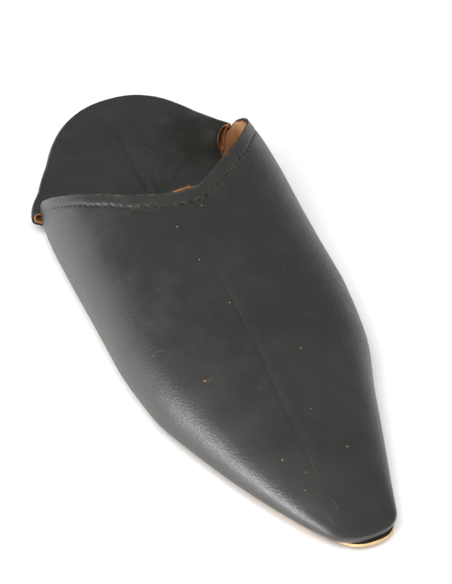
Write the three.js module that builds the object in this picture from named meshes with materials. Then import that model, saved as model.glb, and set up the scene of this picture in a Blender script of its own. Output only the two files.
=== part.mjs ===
// Pointed flat leather slipper (babouche) for the right foot, in millimetres, +Z up.
// Four cut pieces of leather: outsole, insole, upper (vamp with both sides, open at the
// throat, at the back and underneath) and back quarter, trodden down flat into the shoe.
// Stations are measured along the foot from the back of the heel; +X runs to the toe,
// +Y to the inner (medial) side. The finished solids are moved so that the origin lies
// on the floor at the middle of the box around the shoe.
import * as THREE from 'three';

// ---------------------------------------------------------------- driving dimensions
const LENGTH = 280;          // upper, back of the heel to the end of the toe
const HEEL_ROUND = 36.3;     // station where the round of the heel has run out
const TOE_ROUND = 7;         // length of the blunt round of the toe
const SOLE_T = 3;            // outsole leather
const SOLE_THINNED = 1;      // pared off the outsole toward the toe
const INSOLE_T = 1.8;        // insole leather
const WALL = 2;              // upper leather with its lining
const QUARTER_T = 1.8;       // back quarter leather with its lining
const GAP = 0.3;             // room between neighbouring pieces
const WIDE_Z = 9;            // height of the widest line round the upper
const SOLE_BACK = 2.6;       // station of the outsole's back end
const SOLE_TIP = 280.4;      // station of the outsole's tip
const INSOLE_MARGIN = 3.5;   // insole edge inside the outsole edge
const INSOLE_TIP = 269;      // station of the insole's tip
const TOE_LIFT = 0.4;        // the upper's lower edge stands off the sole at the tip
const NOSE_LENGTH = 14;      // length over which the crown rounds down to the toe
const RIDGE_SHIFT = -2.7;    // crown line off the middle, towards the outer side
const BULGE_LATERAL = 2.44;  // superellipse exponent of the girth, outer side
const BULGE_MEDIAL = 2.46;   // the same, inner side
const SEAM_LATERAL = 66;     // station of the side seam, outer side
const SEAM_MEDIAL = 51.8;    // station of the side seam, inner side
const CORNER_FLARE = 2.5;    // the inner throat corner stands off the foot
const CORNER_X = 59.5;       // station of that corner
const FOLD_R = 2.2;          // outside radius of the trodden fold
const EAR_OUT = 4;           // the fold stands out past the side seam, outer side
const FLAP_REST = 8.3;       // top of the trodden flap where it lies on the insole
const FLAP_FALL = 1.7;       // how quickly the flap drops from the fold
const ORIGIN_X = 140.2;      // middle of the box, station
const ORIGIN_Y = -4.376;     // middle of the box across

// half widths of the widest line, and height of the crown, by station
const PLAN = [
  { x: 0, lateral: 28.1, medial: 34.9 },
  { x: 30, lateral: 36.1, medial: 35.9 },
  { x: 60, lateral: 49.6, medial: 41.0 },
  { x: 95, lateral: 52.4, medial: 45.6 },
  { x: 130, lateral: 52.5, medial: 45.3 },
  { x: 160, lateral: 52.3, medial: 44.8 },
  { x: 190, lateral: 49.5, medial: 40.8 },
  { x: 215, lateral: 41.9, medial: 32.6 },
  { x: 240, lateral: 32.2, medial: 24.8 },
  { x: 262, lateral: 21.3, medial: 17.5 },
  { x: 280, lateral: 8.4, medial: 12.0 },
];
// how far the upper turns in under its widest line
const TURN = [
  { x: 0, lateral: 3.0, medial: 3.0 },
  { x: 30, lateral: 3.5, medial: 3.3 },
  { x: 60, lateral: 4.0, medial: 3.9 },
  { x: 130, lateral: 4.4, medial: 3.9 },
  { x: 190, lateral: 5.2, medial: 4.2 },
  { x: 240, lateral: 6.0, medial: 3.9 },
  { x: 262, lateral: 5.0, medial: 3.0 },
  { x: 272, lateral: 2.6, medial: 1.9 },
  { x: 280, lateral: 1.0, medial: 1.0 },
];
// half widths of the outsole
const SOLE_PLAN = [
  { x: 0, lateral: 27.0, medial: 32.0 },
  { x: 30, lateral: 33.0, medial: 33.0 },
  { x: 60, lateral: 45.5, medial: 37.5 },
  { x: 95, lateral: 48.2, medial: 42.0 },
  { x: 130, lateral: 48.2, medial: 41.8 },
  { x: 160, lateral: 47.8, medial: 41.0 },
  { x: 190, lateral: 43.6, medial: 37.0 },
  { x: 215, lateral: 35.6, medial: 29.0 },
  { x: 240, lateral: 24.6, medial: 21.4 },
  { x: 262, lateral: 14.4, medial: 15.2 },
  { x: 283, lateral: 4.6, medial: 10.8 },
];
// how far the quarter's inner front edge leans forward (by) at a height (x), to stay along the upper
const LEAN = [
  { x: 9.0, by: 0 },
  { x: 12.8, by: 0.05 },
  { x: 15.7, by: 0.3 },
  { x: 18.2, by: 0.9 },
  { x: 20.7, by: 1.8 },
  { x: 22.9, by: 2.9 },
  { x: 25.1, by: 4.3 },
];
const CROWN = [
  { x: 50, top: 67.3 },
  { x: 100, top: 62.2 },
  { x: 130, top: 52.4 },
  { x: 160, top: 44.7 },
  { x: 190, top: 37.2 },
  { x: 215, top: 30.6 },
  { x: 240, top: 23.8 },
  { x: 262, top: 17.7 },
  { x: 280, top: 11.7 },
];
// underside of the outsole: flat heel, slight waist, flat forefoot, toe spring
const SOLE_LINE = [
  { x: -5, rise: 0 },
  { x: 60, rise: 0 },
  { x: 98, rise: 1.2 },
  { x: 135, rise: 0 },
  { x: 215, rise: 0 },
  { x: 250, rise: 0.9 },
  { x: 285, rise: 3.8 },
];
// back edge of the upper by girth angle: outer side seam, throat, inner side seam
const EDGE = [
  { x: -90, station: 66.0 },
  { x: -86, station: 66.2 },
  { x: -82, station: 68.8 },
  { x: -72, station: 79.1 },
  { x: -64, station: 87.2 },
  { x: -56, station: 94.4 },
  { x: -40, station: 107.3 },
  { x: -27, station: 115.3 },
  { x: -15, station: 120.6 },
  { x: -7, station: 123.3 },
  { x: -2, station: 124.2 },
  { x: 3, station: 123.4 },
  { x: 10, station: 119.3 },
  { x: 18, station: 113.9 },
  { x: 29, station: 106.2 },
  { x: 39, station: 97.8 },
  { x: 47, station: 90.6 },
  { x: 58, station: 79.6 },
  { x: 71.6, station: 64.9 },
  { x: 78, station: 57.7 },
  { x: 82, station: 54.4 },
  { x: 86, station: 52.3 },
  { x: 90, station: 51.8 },
];
// height of the trodden fold
const RIM = [
  { x: 0, lateral: 10.4, medial: 10.4 },
  { x: 15, lateral: 10.8, medial: 10.6 },
  { x: 25, lateral: 11.3, medial: 12.0 },
  { x: 35, lateral: 12.9, medial: 15.7 },
  { x: 45, lateral: 14.0, medial: 19.9 },
  { x: 52, lateral: 14.0, medial: 22.2 },
  { x: 66, lateral: 13.4, medial: 22.4 },
];
// free edge of the trodden flap, x from -1 at the outer side seam to 1 at the inner one
const FLAP = [
  { x: -1, reach: 65.2, across: -38.0, top: 11.0 },
  { x: -0.7, reach: 72.5, across: -27.0, top: 9.6 },
  { x: -0.35, reach: 76.0, across: -14.0, top: 9.6 },
  { x: 0, reach: 75.6, across: -1.0, top: 9.9 },
  { x: 0.15, reach: 72.8, across: 4.0, top: 10.1 },
  { x: 0.35, reach: 72.3, across: 12.0, top: 10.2 },
  { x: 0.5, reach: 74.0, across: 18.0, top: 9.7 },
  { x: 0.7, reach: 73.5, across: 25.0, top: 9.3 },
  { x: 0.88, reach: 67.0, across: 31.5, top: 9.0 },
  { x: 1, reach: 54.0, across: 35.3, top: 9.0 },
];

// ---------------------------------------------------------------- small mathematics
const clamp = (v, lo, hi) => Math.min(hi, Math.max(lo, v));
const mix = (a, b, t) => a + (b - a) * t;
const smooth = (t) => { const c = clamp(t, 0, 1); return c * c * (3 - 2 * c); };

// monotone cubic curve through a table's rows
function curve(table, column) {
  const xs = table.map((r) => r.x), ys = table.map((r) => r[column]);
  const n = xs.length, h = [], d = [];
  for (let i = 0; i < n - 1; i++) { h.push(xs[i + 1] - xs[i]); d.push((ys[i + 1] - ys[i]) / h[i]); }
  const edge = (h0, h1, d0, d1) => {
    const m = ((2 * h0 + h1) * d0 - h0 * d1) / (h0 + h1);
    if (Math.sign(m) !== Math.sign(d0)) return 0;
    if (Math.sign(d0) !== Math.sign(d1) && Math.abs(m) > Math.abs(3 * d0)) return 3 * d0;
    return m;
  };
  const m = new Array(n).fill(0);
  m[0] = edge(h[0], h[1], d[0], d[1]);
  m[n - 1] = edge(h[n - 2], h[n - 3], d[n - 2], d[n - 3]);
  for (let i = 1; i < n - 1; i++) {
    if (d[i - 1] * d[i] <= 0) continue;
    const w1 = 2 * h[i] + h[i - 1], w2 = h[i] + 2 * h[i - 1];
    m[i] = (w1 + w2) / (w1 / d[i - 1] + w2 / d[i]);
  }
  return (x) => {
    const q = clamp(x, xs[0], xs[n - 1]);
    let i = 0;
    while (i < n - 2 && q > xs[i + 1]) i++;
    const t = (q - xs[i]) / h[i], t2 = t * t, t3 = t2 * t;
    return (2 * t3 - 3 * t2 + 1) * ys[i] + (t3 - 2 * t2 + t) * h[i] * m[i]
      + (3 * t2 - 2 * t3) * ys[i + 1] + (t3 - t2) * h[i] * m[i + 1];
  };
}
// rises from 0 to 1 as the end of a form rounds out
const round = (q, n) => (q >= 1 ? 1 : (1 - (1 - clamp(q, 0, 1)) ** n) ** (1 / n));

const crownAt = curve(CROWN, 'top');
const soleAt = curve(SOLE_LINE, 'rise');
const soleThick = (x) => SOLE_T - SOLE_THINNED * smooth((x - 250) / 25);
const seatAt = (x) => soleAt(x) + soleThick(x);     // top of the outsole
const turnAt = { [-1]: curve(TURN, 'lateral'), 1: curve(TURN, 'medial') };
const rimAt = { [-1]: curve(RIM, 'lateral'), 1: curve(RIM, 'medial') };
const edgeAt = curve(EDGE, 'station');
const leanAt = curve(LEAN, 'by');
const flapReach = curve(FLAP, 'reach'), flapAcross = curve(FLAP, 'across'), flapTop = curve(FLAP, 'top');

// ---------------------------------------------------------------- outlines
// a form is one outline: its table, where it starts and ends, how much skin is taken off
const form = (table, from, to, skin) => (
  { lateral: curve(table, 'lateral'), medial: curve(table, 'medial'), from, to, skin });
const OUTER = form(PLAN, 0, LENGTH, 0);
const INNER = form(PLAN, 0, LENGTH - 3, WALL);
const SOLE = form(SOLE_PLAN, SOLE_BACK, SOLE_TIP, 0);
const INSOLE = form(SOLE_PLAN, SOLE_BACK + INSOLE_MARGIN, INSOLE_TIP, INSOLE_MARGIN);

// lowest and highest y of an outline at a station
function widths(f, x) {
  const a = f.lateral(x) - f.skin, b = f.medial(x) - f.skin;
  const c = round((x - f.from) / HEEL_ROUND, 2.2) * round((f.to - x) / TOE_ROUND, 2.6);
  const mid = (b - a) / 2, half = ((a + b) / 2) * c;
  return [mid - half, mid + half];
}
// closed outline: angle 0 is the back of the heel, +-PI the toe, positive the inner side
function outline(f, angle) {
  const x = f.from + ((f.to - f.from) * (1 - Math.cos(angle))) / 2;
  const [lo, hi] = widths(f, x);
  return [x, angle >= 0 ? hi : lo];
}
function offset(f, angle, out) {
  const e = 0.004;
  const wrap = (a) => (a > Math.PI ? a - 2 * Math.PI : a < -Math.PI ? a + 2 * Math.PI : a);
  const p = outline(f, wrap(angle - e)), q = outline(f, wrap(angle + e));
  const tx = q[0] - p[0], ty = q[1] - p[1], l = Math.hypot(tx, ty) || 1;
  const o = outline(f, angle);
  return [o[0] - (out * ty) / l, o[1] + (out * tx) / l];
}
const angleAt = (f, x, side) => side * Math.acos(clamp(1 - (2 * (x - f.from)) / (f.to - f.from), -1, 1));

// the inner back corner of the upper stands out a little
const cornerFlare = (x, z) => CORNER_FLARE * Math.exp(-(((x - CORNER_X) / 14) ** 2)) * smooth((z - 9) / 17);

// girth of the upper above the widest line: theta -90 outer side, 0 crown, +90 inner side
function girth(f, theta, x) {
  const [lo, hi] = widths(f, x);
  const nose = round((f.to - x) / NOSE_LENGTH, 2);
  const rise = (crownAt(x) - f.skin - WIDE_Z) * nose;
  const ridge = RIDGE_SHIFT * clamp((260 - x) / 100, 0, 1) * round((f.to - x) / TOE_ROUND, 2.6) + (lo + hi) / 2;
  const s = Math.sin(theta), c = Math.max(0, Math.cos(theta));
  const power = 2 / (s < 0 ? BULGE_LATERAL : BULGE_MEDIAL);
  const reach = Math.abs(s) ** power;
  let y = s < 0 ? ridge - (ridge - lo) * reach : ridge + (hi - ridge) * reach;
  const z = WIDE_Z + rise * c ** power;
  if (s > 0) y += cornerFlare(x, z) * reach;
  return [x, y, z];
}
// station of the upper's back edge at a girth angle
const backEdge = (theta) => edgeAt((theta * 180) / Math.PI);

// ---------------------------------------------------------------- closed bodies
class Body {
  constructor() { this.points = []; this.keys = new Map(); this.faces = []; }
  vertex(p) {
    const key = p.map((v) => Math.round(v * 500)).join();
    if (!this.keys.has(key)) { this.keys.set(key, this.points.length); this.points.push(p); }
    return this.keys.get(key);
  }
  tri(a, b, c) {
    const [i, j, k] = [a, b, c].map((p) => this.vertex(p));
    if (i !== j && j !== k && k !== i) this.faces.push([i, j, k]);
  }
  quad(a, b, c, d) { this.tri(a, b, c); this.tri(a, c, d); }
  // faces over a grid of points, seen from the side where rows run up and columns right
  grid(rows) {
    for (let i = 0; i + 1 < rows.length; i++)
      for (let j = 0; j + 1 < rows[i].length; j++)
        this.quad(rows[i][j], rows[i][j + 1], rows[i + 1][j + 1], rows[i + 1][j]);
  }
  geometry() {
    const g = new THREE.BufferGeometry();
    const flat = this.points.flatMap(([x, y, z]) => [x - ORIGIN_X, y - ORIGIN_Y, z]);
    g.setAttribute('position', new THREE.Float32BufferAttribute(flat, 3));
    g.setIndex(this.faces.flat());
    g.computeVertexNormals();
    return g;
  }
}

// a leather board inside an outline, from low(station) up by thick
function board(f, low, thick, steps) {
  const body = new Body();
  const rows = [];
  for (let i = 0; i <= steps; i++) {
    const a = (Math.PI * i) / steps;
    const m = outline(f, a), l = i === 0 || i === steps ? m : outline(f, -a);
    rows.push([l, m].map(([px, py]) => [px, py, low(px)]));
  }
  const lift = (p) => [p[0], p[1], p[2] + thick(p[0])];
  for (let i = 0; i < steps; i++) {
    const [l0, m0] = rows[i], [l1, m1] = rows[i + 1];
    body.quad(lift(l0), lift(l1), lift(m1), lift(m0));
    body.quad(l0, m0, m1, l1);
    body.quad(l0, l1, lift(l1), lift(l0));
    body.quad(m1, m0, lift(m0), lift(m1));
  }
  return body.geometry();
}

// upper: outer and inner skins over the last, turned in at the bottom, joined by a rim
const UPPER_TURNS = 24, UPPER_LENGTHS = 26, CURL = 3;
function upperSkin(f) {
  const rows = [];
  for (let v = 0; v <= UPPER_TURNS + 2 * CURL; v++) {
    const row = [];
    const low = v < CURL ? v / CURL : v > UPPER_TURNS + CURL ? (UPPER_TURNS + 2 * CURL - v) / CURL : 1;
    const side = v < UPPER_TURNS / 2 + CURL ? -1 : 1;
    const theta = low < 1 ? (side * Math.PI) / 2 : -Math.PI / 2 + (Math.PI * (v - CURL)) / UPPER_TURNS;
    const start = backEdge(theta);
    for (let u = 0; u <= UPPER_LENGTHS; u++) {
      const x = f.to - (f.to - start) * (1 - u / UPPER_LENGTHS) ** 2.2;
      if (low < 1) {
        const turn = u === UPPER_LENGTHS ? (turnAt[-1](x) + turnAt[1](x)) / 2 : turnAt[side](x);
        const inset = turn * (1 - low) ** 2;
        const p = u === UPPER_LENGTHS
          ? [f.to - inset, outline(f, Math.PI)[1]]
          : offset(f, angleAt(f, x, side), -inset);
        if (u === 0) p[0] = start;
        const foot = seatAt(p[0]) + GAP + TOE_LIFT * smooth((x - 264) / 10);
        row.push([p[0], p[1], mix(foot, WIDE_Z, low)]);
      } else row.push(girth(f, theta, x));
    }
    rows.push(row);
  }
  return rows;
}
function upper() {
  const body = new Body();
  const out = upperSkin(OUTER), inn = upperSkin(INNER);
  body.grid(out);
  body.grid(inn.map((r) => [...r].reverse()));
  const last = out.length - 1;
  for (let u = 0; u < UPPER_LENGTHS; u++) {
    body.quad(out[0][u], inn[0][u], inn[0][u + 1], out[0][u + 1]);
    body.quad(out[last][u + 1], inn[last][u + 1], inn[last][u], out[last][u]);
  }
  for (let v = 0; v < last; v++) body.quad(out[v + 1][0], inn[v + 1][0], inn[v][0], out[v][0]);
  return body.geometry();
}

// back quarter: low wall round the heel, fold, and flap lying forward over the insole
const QUARTER_ROUND = 38, WALL_ROWS = 4, FOLD_ROWS = 6, FLAP_ROWS = 9;
function quarterRow(t) {                       // t -1 outer seam, 0 heel, +1 inner seam
  const side = t < 0 ? -1 : 1;
  const front = (side < 0 ? SEAM_LATERAL : SEAM_MEDIAL) - 2 * GAP;
  const a = t * angleAt(OUTER, front, 1);
  const o = outline(OUTER, a);
  const k = clamp(o[0] / front, 0, 1);
  const rim = rimAt[side](o[0]);
  const ear = side < 0 ? EAR_OUT * smooth((k - 0.78) / 0.22) : 0;
  const wide = Math.min(WIDE_Z, rim - FOLD_R);
  const foot = seatAt(o[0]) + GAP;
  const n0 = offset(OUTER, a, 1), n = [n0[0] - o[0], n0[1] - o[1]];
  const keep = smooth((k - 0.75) / 0.25);       // near the seams the piece stays square to them
  const m = [mix(n[0], 0, keep), mix(n[1], side, keep)];
  const ml = Math.hypot(m[0], m[1]); m[0] /= ml; m[1] /= ml;
  const at = (out, z) => [o[0] + out * m[0], o[1] + out * m[1], z];
  const row = [];
  const top = rim - FOLD_R;
  for (let i = 0; i < WALL_ROWS; i++) {
    const z = mix(foot, top, (i / WALL_ROWS) ** 0.8);
    const low = clamp((z - foot) / (wide - foot), 0, 1);
    row.push(at(-turnAt[side](o[0]) * (1 - low) ** 2 + ear * smooth(low), z));
  }
  // where the flap ends, and how steeply it leaves the fold
  const reach = flapReach(t), y = flapAcross(t), edgeZ = flapTop(t);
  const start = at(ear - FOLD_R, rim);
  const len = Math.hypot(reach - start[0], y - start[1]);
  const rest = mix(FLAP_REST, edgeZ, Math.abs(t) ** 3);
  const slope = Math.min(Math.PI / 3, Math.atan(((rim - 0.4 - rest) * FLAP_FALL) / (0.9 * len)));
  const turn = Math.PI / 2 + slope;
  for (let i = 0; i <= FOLD_ROWS; i++) {
    const f = (turn * i) / FOLD_ROWS;
    row.push(at(ear - FOLD_R * (1 - Math.cos(f)), top + FOLD_R * Math.sin(f)));
  }
  const p0 = row[row.length - 1];
  const p1 = [p0[0] - m[0] * len * 0.45, p0[1] - m[1] * len * 0.45];
  for (let i = 1; i <= FLAP_ROWS; i++) {
    const q = i / FLAP_ROWS, w0 = (1 - q) ** 2, w1 = 2 * q * (1 - q), w2 = q * q;
    const z = rest + (p0[2] - rest) * (1 - q) ** FLAP_FALL + (edgeZ - rest) * smooth((q - 0.85) / 0.15);
    row.push([w0 * p0[0] + w1 * p1[0] + w2 * reach, w0 * p0[1] + w1 * p1[1] + w2 * y, z]);
  }
  const lean = smooth((t - 0.84) / 0.16);       // inner front edge follows the upper's
  return row.map(([x, py, z]) => {
    const lx = x + leanAt(z) * lean;
    return [lx, py + cornerFlare(lx, z) * lean, z];
  });
}
// the same grid moved through the leather's thickness, away from its finished face
function thickened(rows, t) {
  const v = (p) => new THREE.Vector3(...p);
  return rows.map((row, i) => row.map((p, j) => {
    const a = v(rows[Math.max(0, i - 1)][j]), b = v(rows[Math.min(rows.length - 1, i + 1)][j]);
    const c = v(row[Math.max(0, j - 1)]), d = v(row[Math.min(row.length - 1, j + 1)]);
    const n = b.sub(a).cross(d.sub(c)).normalize();
    return [p[0] - n.x * t, p[1] - n.y * t, p[2] - n.z * t];
  }));
}
function backQuarter() {
  const body = new Body();
  const out = [];
  for (let i = 0; i <= QUARTER_ROUND; i++) out.push(quarterRow(-1 + (2 * i) / QUARTER_ROUND));
  const inn = thickened(out, -QUARTER_T);
  body.grid(out);
  body.grid(inn.map((r) => [...r].reverse()));
  const last = out.length - 1, end = out[0].length - 1;
  for (let j = 0; j < end; j++) {
    body.quad(out[0][j], inn[0][j], inn[0][j + 1], out[0][j + 1]);
    body.quad(out[last][j + 1], inn[last][j + 1], inn[last][j], out[last][j]);
  }
  for (let i = 0; i < last; i++) {
    body.quad(out[i + 1][0], inn[i + 1][0], inn[i][0], out[i][0]);
    body.quad(out[i][end], inn[i][end], inn[i + 1][end], out[i + 1][end]);
  }
  return body.geometry();
}

// ---------------------------------------------------------------- the shoe
const leather = (colour, roughness) => new THREE.MeshStandardMaterial({ color: colour, roughness, metalness: 0 });
const shoe = new THREE.Group();
function piece(name, geometry, material) {
  const mesh = new THREE.Mesh(geometry, material);
  mesh.name = name;
  shoe.add(mesh);
}
piece('outsole', board(SOLE, soleAt, soleThick, 56), leather(0xc79a5e, 0.7));
piece('insole', board(INSOLE, (x) => seatAt(x) + GAP, () => INSOLE_T, 48), leather(0xc08a55, 0.75));
piece('upper', upper(), leather(0x2b2c2a, 0.55));
piece('back_quarter', backQuarter(), leather(0x2b2c2a, 0.6));

export default shoe;
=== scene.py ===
"""Looks of a flat, pointed leather slipper (babouche), right foot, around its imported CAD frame."""
import math

import bpy
import numpy as np
from mathutils import Matrix, Vector


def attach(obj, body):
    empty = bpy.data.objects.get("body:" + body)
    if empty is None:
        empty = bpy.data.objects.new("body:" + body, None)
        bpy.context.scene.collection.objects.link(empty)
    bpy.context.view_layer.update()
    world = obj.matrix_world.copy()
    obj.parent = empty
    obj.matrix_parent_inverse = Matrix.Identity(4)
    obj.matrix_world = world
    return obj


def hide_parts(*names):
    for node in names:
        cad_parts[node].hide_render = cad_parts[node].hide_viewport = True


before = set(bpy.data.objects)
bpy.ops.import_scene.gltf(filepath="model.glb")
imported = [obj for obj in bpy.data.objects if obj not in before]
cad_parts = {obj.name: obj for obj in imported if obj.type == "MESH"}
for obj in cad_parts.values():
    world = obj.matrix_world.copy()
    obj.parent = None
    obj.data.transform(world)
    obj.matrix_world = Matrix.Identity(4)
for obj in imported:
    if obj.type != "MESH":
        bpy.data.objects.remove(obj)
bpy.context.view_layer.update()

# ---------------------------------------------------------------- the slipper's sizes (mm)
# Stations run from the back of the heel to the toe, +Y is the inner side, as in the CAD.
LENGTH = 280.0
HEEL_ROUND, TOE_ROUND, NOSE_LENGTH = 36.3, 7.0, 14.0
SOLE_T, INSOLE_T, WALL, QUARTER_T, GAP = 3.0, 1.8, 2.0, 1.8, 0.3
WIDE_Z = 9.0
SOLE_BACK, SOLE_TIP, INSOLE_MARGIN, INSOLE_TIP, TOE_LIFT = 2.6, 280.4, 3.5, 269.0, 0.4
SOLE_THINNED = 1.0
RIDGE_SHIFT, BULGE_LATERAL, BULGE_MEDIAL = -2.7, 2.44, 2.46
SEAM_LATERAL, SEAM_MEDIAL, CORNER_FLARE = 66.0, 51.8, 2.5
FOLD_R, EAR_OUT = 2.2, 4.0
FLAP_REST, FLAP_FALL = 8.3, 1.7
ORIGIN_X, ORIGIN_Y = 140.2, -4.376

PLAN = {"x":       [0, 30, 60, 95, 130, 160, 190, 215, 240, 262, 280],
        "lateral": [28.1, 36.1, 49.6, 52.4, 52.5, 52.3, 49.5, 41.9, 32.2, 21.3, 8.4],
        "medial":  [34.9, 35.9, 41.0, 45.6, 45.3, 44.8, 40.8, 32.6, 24.8, 17.5, 12.0]}
TURN = {"x":       [0, 30, 60, 130, 190, 240, 262, 272, 280],
        "lateral": [3.0, 3.5, 4.0, 4.4, 5.2, 6.0, 5.0, 2.6, 1.0],
        "medial":  [3.0, 3.3, 3.9, 3.9, 4.2, 3.9, 3.0, 1.9, 1.0]}
SOLE_PLAN = {"x":       [0, 30, 60, 95, 130, 160, 190, 215, 240, 262, 283],
             "lateral": [27.0, 33.0, 45.5, 48.2, 48.2, 47.8, 43.6, 35.6, 24.6, 14.4, 4.6],
             "medial":  [32.0, 33.0, 37.5, 42.0, 41.8, 41.0, 37.0, 29.0, 21.4, 15.2, 10.8]}
LEAN = {"z":  [9.0, 12.8, 15.7, 18.2, 20.7, 22.9, 25.1],
        "by": [0, 0.06, 0.35, 1.1, 2.2, 3.5, 5.0]}
CROWN = {"x":   [50, 100, 130, 160, 190, 215, 240, 262, 280],
         "top": [67.3, 62.2, 52.4, 44.7, 37.2, 30.6, 23.8, 17.7, 11.7]}
# back edge of the upper by girth angle: outer side seam, throat, inner side seam
EDGE = {"angle":   [-90, -86, -82, -72, -64, -56, -40, -27, -15, -7, -2, 3, 10, 18, 29, 39, 47, 58, 71.6, 78, 82, 86, 90],
        "station": [66.0, 66.2, 68.8, 79.1, 87.2, 94.4, 107.3, 115.3, 120.6, 123.3, 124.2, 123.4, 119.3, 113.9, 106.2, 97.8,
                    90.6, 79.6, 64.9, 57.7, 54.4, 52.3, 51.8]}
# height of the trodden fold
RIM = {"x":       [0, 15, 25, 35, 45, 52, 66],
       "lateral": [10.4, 10.8, 11.3, 12.9, 14.0, 14.0, 13.4],
       "medial":  [10.4, 10.6, 12.0, 15.7, 19.9, 22.2, 22.4]}
# free edge of the trodden flap, from the outer to the inner side seam
FLAP = {"t":      [-1, -0.7, -0.35, 0, 0.15, 0.35, 0.5, 0.7, 0.88, 1],
        "reach":  [65.2, 72.5, 76.0, 75.6, 72.8, 72.3, 74.0, 73.5, 67.0, 54.0],
        "across": [-38.0, -27.0, -14.0, -1.0, 4.0, 12.0, 18.0, 25.0, 31.5, 35.3],
        "top":    [11.0, 9.6, 9.6, 9.9, 10.1, 10.2, 9.7, 9.3, 9.0, 9.0]}
SOLE_LINE = {"x":    [-5, 60, 98, 135, 215, 250, 285],
             "rise": [0, 0, 1.2, 0, 0, 0.9, 3.8]}


def mix(a, b, t):
    return a + (b - a) * t


def smooth(t):
    c = np.clip(t, 0, 1)
    return c * c * (3 - 2 * c)


def curve(table, column, key="x"):
    """Monotone cubic curve through a table's rows."""
    xs, ys = np.array(table[key], float), np.array(table[column], float)
    h, d = np.diff(xs), np.diff(ys) / np.diff(xs)

    def end(h0, h1, d0, d1):
        m = ((2 * h0 + h1) * d0 - h0 * d1) / (h0 + h1)
        if np.sign(m) != np.sign(d0):
            return 0.0
        if np.sign(d0) != np.sign(d1) and abs(m) > abs(3 * d0):
            return 3 * d0
        return m

    m = np.zeros(len(xs))
    m[0], m[-1] = end(h[0], h[1], d[0], d[1]), end(h[-1], h[-2], d[-1], d[-2])
    for i in range(1, len(xs) - 1):
        if d[i - 1] * d[i] > 0:
            w1, w2 = 2 * h[i] + h[i - 1], h[i] + 2 * h[i - 1]
            m[i] = (w1 + w2) / (w1 / d[i - 1] + w2 / d[i])

    def at(x):
        q = np.clip(np.asarray(x, float), xs[0], xs[-1])
        i = np.clip(np.searchsorted(xs, q, side="right") - 1, 0, len(xs) - 2)
        t = (q - xs[i]) / h[i]
        return ((2 * t**3 - 3 * t**2 + 1) * ys[i] + (t**3 - 2 * t**2 + t) * h[i] * m[i]
                + (3 * t**2 - 2 * t**3) * ys[i + 1] + (t**3 - t**2) * h[i] * m[i + 1])
    return at


def rnd(q, n):
    return (1 - (1 - np.clip(q, 0, 1)) ** n) ** (1 / n)


crown_at = curve(CROWN, "top")
sole_at = curve(SOLE_LINE, "rise")
turn_l, turn_m = curve(TURN, "lateral"), curve(TURN, "medial")
edge_at = curve(EDGE, "station", "angle")
lean_at = curve(LEAN, "by", "z")
rim_l, rim_m = curve(RIM, "lateral"), curve(RIM, "medial")
reach_at, across_at, lip_at = curve(FLAP, "reach", "t"), curve(FLAP, "across", "t"), curve(FLAP, "top", "t")


def sole_t(x):
    """The outsole is pared thinner toward the toe."""
    return SOLE_T - SOLE_THINNED * smooth((x - 250) / 25)


def seat_at(x):
    return sole_at(x) + sole_t(x)


class Form:
    """One outline: its table, where it starts and ends, and the skin taken off."""
    def __init__(self, table, start, end, skin):
        self.lateral, self.medial = curve(table, "lateral"), curve(table, "medial")
        self.start, self.end, self.skin = start, end, skin

    def widths(self, x):
        a, b = self.lateral(x) - self.skin, self.medial(x) - self.skin
        c = rnd((x - self.start) / HEEL_ROUND, 2.2) * rnd((self.end - x) / TOE_ROUND, 2.6)
        mid, half = (b - a) / 2, (a + b) / 2 * c
        return mid - half, mid + half

    def outline(self, angle):
        angle = np.asarray(angle, float)
        x = self.start + (self.end - self.start) * (1 - np.cos(angle)) / 2
        lo, hi = self.widths(x)
        return x, np.where(angle >= 0, hi, lo)

    def normal(self, angle):
        e = 0.004
        wrap = lambda a: np.where(a > np.pi, a - 2 * np.pi, np.where(a < -np.pi, a + 2 * np.pi, a))
        p, q = self.outline(wrap(np.asarray(angle) - e)), self.outline(wrap(np.asarray(angle) + e))
        tx, ty = q[0] - p[0], q[1] - p[1]
        l = np.hypot(tx, ty)
        return -ty / l, tx / l

    def offset(self, angle, out):
        x, y = self.outline(angle)
        nx, ny = self.normal(angle)
        return x + out * nx, y + out * ny

    def angle_at(self, x, side):
        return side * np.arccos(np.clip(1 - 2 * (x - self.start) / (self.end - self.start), -1, 1))


def upper_form(skin):
    return Form(PLAN, 0.0, LENGTH - 1.5 * skin, skin)


OUTER = upper_form(0.0)
SOLE = Form(SOLE_PLAN, SOLE_BACK, SOLE_TIP, 0.0)
INSOLE = Form(SOLE_PLAN, SOLE_BACK + INSOLE_MARGIN, INSOLE_TIP, INSOLE_MARGIN)


def corner_flare(x, z):
    """The inner back corner of the upper stands out a little."""
    return CORNER_FLARE * np.exp(-(((x - 59.5) / 14) ** 2)) * smooth((z - 9) / 17)


def girth(f, theta, x):
    """Point on the upper above its widest line: -90 outer side, 0 crown, +90 inner side."""
    lo, hi = f.widths(x)
    rise = (crown_at(x) - f.skin - WIDE_Z) * rnd((f.end - x) / NOSE_LENGTH, 2)
    ridge = RIDGE_SHIFT * np.clip((260 - x) / 100, 0, 1) * rnd((f.end - x) / TOE_ROUND, 2.6) + (lo + hi) / 2
    s, c = np.sin(theta), np.maximum(0, np.cos(theta))
    power = np.where(s < 0, 2 / BULGE_LATERAL, 2 / BULGE_MEDIAL)
    reach = np.abs(s) ** power
    y = np.where(s < 0, ridge - (ridge - lo) * reach, ridge + (hi - ridge) * reach)
    z = WIDE_Z + rise * c ** power
    return x, y + np.where(s > 0, corner_flare(x, z) * reach, 0), z


def back_edge(theta):
    return edge_at(np.degrees(theta))


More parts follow.
